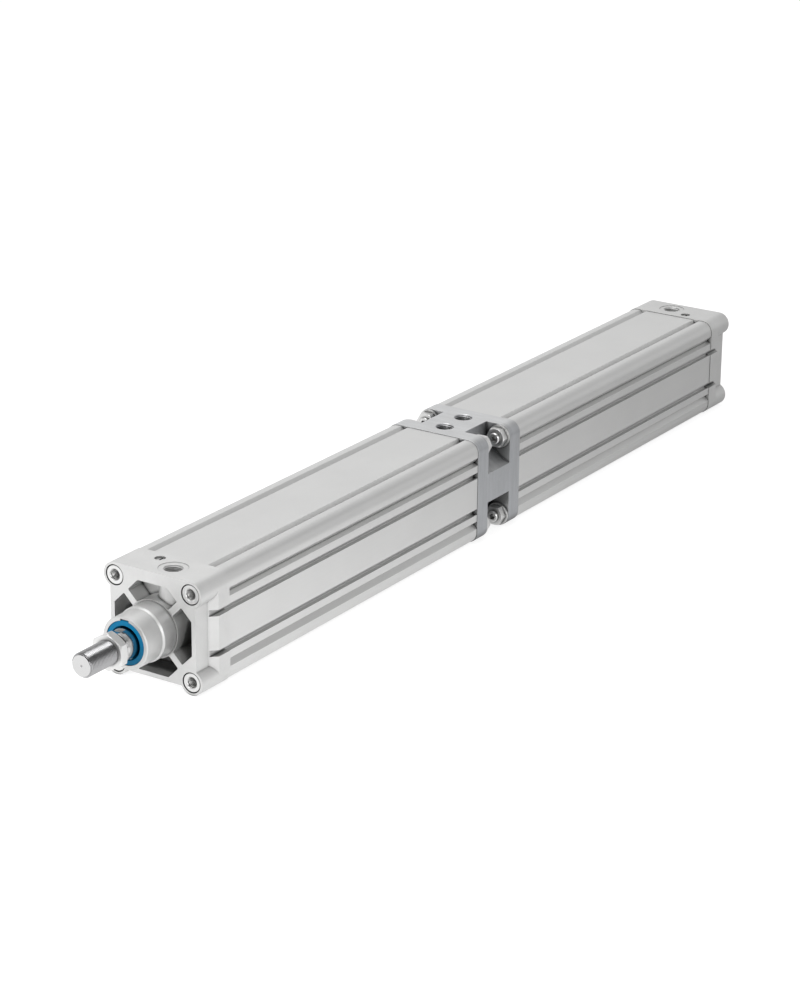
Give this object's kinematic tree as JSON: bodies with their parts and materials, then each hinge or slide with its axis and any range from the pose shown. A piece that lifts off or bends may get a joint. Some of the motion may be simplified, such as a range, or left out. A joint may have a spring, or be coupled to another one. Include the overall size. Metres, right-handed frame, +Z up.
{
  "type": "tandem pneumatic cylinder",
  "caption": "Tandem air cylinder: square caps and ported middle piece join grooved aluminium barrels around one rod with a threaded end and lock nut.",
  "frame": {"origin": "centre of the front mounting face, where the centring collar starts, on the rod's axis", "axes": "+X out along the piston rod, +Z up through the port faces, +Y to the left seen from behind"},
  "size_m": [0.943, 0.093, 0.093],
  "materials": {
    "cast_aluminium": "fine cast, satin",
    "anodised_aluminium": "clear anodised, satin",
    "machined_aluminium": "fine milled",
    "piston_aluminium": "turned",
    "zinc_steel": "bright zinc plated",
    "chromed_rod": "hard chromed, polished",
    "blue_seal": "smooth polyurethane",
    "black_rubber": "smooth",
    "black_plastic": "matt",
    "bronze_bush": "sintered"
  },
  "bodies": {
    "cylinder": {"front_cap": "cast_aluminium", "front_barrel": "anodised_aluminium", "middle_piece": "machined_aluminium", "middle_front_gland": "machined_aluminium", "middle_rear_gland": "machined_aluminium", "rear_barrel": "anodised_aluminium", "rear_cap": "cast_aluminium", "front_cap_screws": "zinc_steel", "rear_cap_screws": "zinc_steel", "front_flange_studs": "zinc_steel", "rear_flange_studs": "zinc_steel", "front_flange_nuts": "zinc_steel", "rear_flange_nuts": "zinc_steel", "rod_wiper_seal": "blue_seal", "front_bush": "bronze_bush", "middle_bush": "bronze_bush", "middle_rod_seals": "black_rubber", "front_cap_o_ring": "black_rubber", "rear_cap_o_ring": "black_rubber", "middle_o_rings": "black_rubber", "front_cushion_seal": "black_rubber", "rear_cushion_seal": "black_rubber"},
    "packing": {"front_piston_seals": "black_rubber", "rear_piston_seals": "black_rubber", "front_guide_ring": "black_plastic", "rear_guide_ring": "black_plastic", "front_magnet": "black_plastic", "rear_magnet": "black_plastic"},
    "rod": {"front_rod": "chromed_rod", "middle_rod": "chromed_rod", "front_piston": "piston_aluminium", "rear_piston": "piston_aluminium", "front_cushion_sleeve": "piston_aluminium", "rear_cushion_sleeve": "piston_aluminium", "piston_nut": "zinc_steel"},
    "lock_nut": {"lock_nut": "zinc_steel"},
    "front_needle": {"front_needle": "zinc_steel"},
    "rear_needle": {"rear_needle": "zinc_steel"}
  },
  "joints": [
    {"name": "rod_stroke", "type": "slide", "parent": "cylinder", "child": "packing", "axis": [1, 0, 0], "range_m": [0, 0.3]},
    {"name": "rod_turn", "type": "hinge", "parent": "packing", "child": "rod", "pos_m": [0, 0, 0], "axis": [1, 0, 0], "continuous": true},
    {"name": "lock_nut_travel", "type": "slide", "parent": "rod", "child": "lock_nut", "axis": [1, 0, 0], "range_m": [0, 0.028]},
    {"name": "front_needle_turn", "type": "hinge", "parent": "cylinder", "child": "front_needle", "pos_m": [-0.0265, -0.0125, 0], "axis": [0, 0, 1], "range_deg": [0, 1080]},
    {"name": "rear_needle_turn", "type": "hinge", "parent": "cylinder", "child": "rear_needle", "pos_m": [-0.8265, 0.0125, 0], "axis": [0, 0, 1], "range_deg": [0, 1080]}
  ]
}
